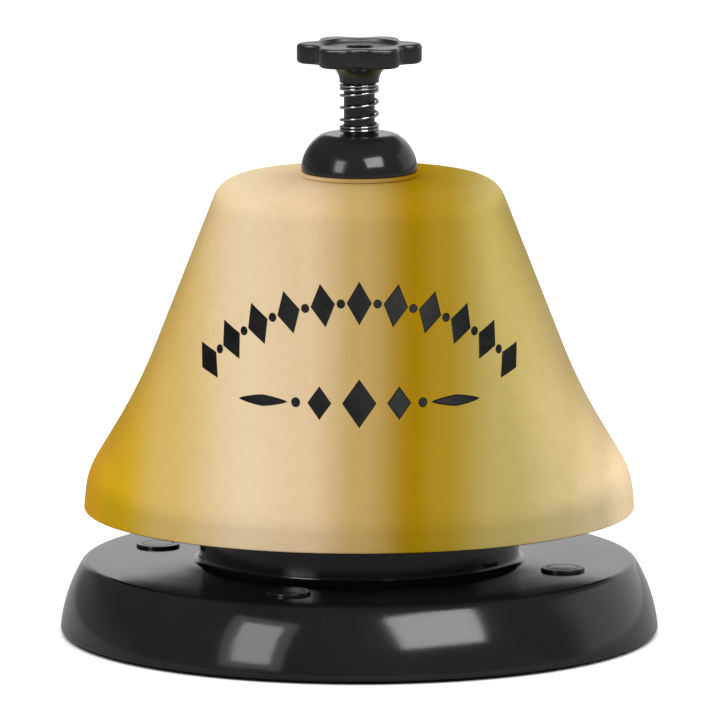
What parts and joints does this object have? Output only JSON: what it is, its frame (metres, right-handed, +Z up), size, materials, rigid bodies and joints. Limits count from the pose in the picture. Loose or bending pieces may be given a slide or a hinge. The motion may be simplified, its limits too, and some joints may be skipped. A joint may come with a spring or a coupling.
{
  "type": "counter bell",
  "caption": "Counter bell with a flared metal gong on a round moulded base, a domed cap and a sprung lobed push knob that swings a hammer inside.",
  "frame": {"origin": "centre of the underside, on the gong's axis, at the height of the table", "axes": "+Z up along the gong's axis, -Y towards the front, +X to the side that the hammer strikes"},
  "size_m": [0.0848, 0.0848, 0.0842],
  "materials": {
    "black_moulding": "gloss moulded, black",
    "rivet_plastic": "semi-gloss moulded, black",
    "knob_plastic": "satin moulded, black",
    "rubber": "matte",
    "gong_gold": "satin gold, dark inside",
    "turned_brass": "turned",
    "plate_steel": "zinc plated",
    "fastener_steel": "bright zinc",
    "spring_steel": "bright drawn wire",
    "natural_nylon": "natural, satin"
  },
  "bodies": {
    "stand": {"base_shell": "black_moulding", "bottom_plate": "plate_steel", "rubber_feet": "rubber", "cover_rivets": "rivet_plastic", "bridge_frame": "plate_steel", "bridge_screws": "fastener_steel", "bell_post": "turned_brass", "lock_washer": "fastener_steel", "post_nut": "fastener_steel", "support_washer": "rubber", "bell": "gong_gold", "crown_washer": "gong_gold", "dome_cap": "black_moulding", "return_spring": "spring_steel", "pivot_pin": "fastener_steel", "pivot_washers": "natural_nylon", "pivot_clip": "spring_steel"},
    "plunger": {"plunger_pin": "fastener_steel", "retaining_clip": "spring_steel"},
    "knob": {"push_knob": "knob_plastic"},
    "striker": {"rocker_lever": "natural_nylon", "hammer_wire": "spring_steel", "hammer_head": "turned_brass"}
  },
  "joints": [
    {"name": "plunger_press", "type": "slide", "parent": "stand", "child": "plunger", "axis": [0, 0, -1], "range_m": [0, 0.0028], "stiffness_N_per_m": 900, "springref_m": -0.001, "deforming": ["return_spring"]},
    {"name": "knob_turn", "type": "hinge", "parent": "plunger", "child": "knob", "pos_m": [0, 0, 0.08], "axis": [0, 0, 1], "continuous": true},
    {"name": "hammer_swing", "type": "hinge", "parent": "stand", "child": "striker", "pos_m": [0.00747, 0, 0.03855], "axis": [0, -1, 0], "range_deg": [0, 21.5]}
  ],
  "couplings": [
    {"joint": "hammer_swing", "follows": "plunger_press", "rad_per_m": 133.39}
  ]
}
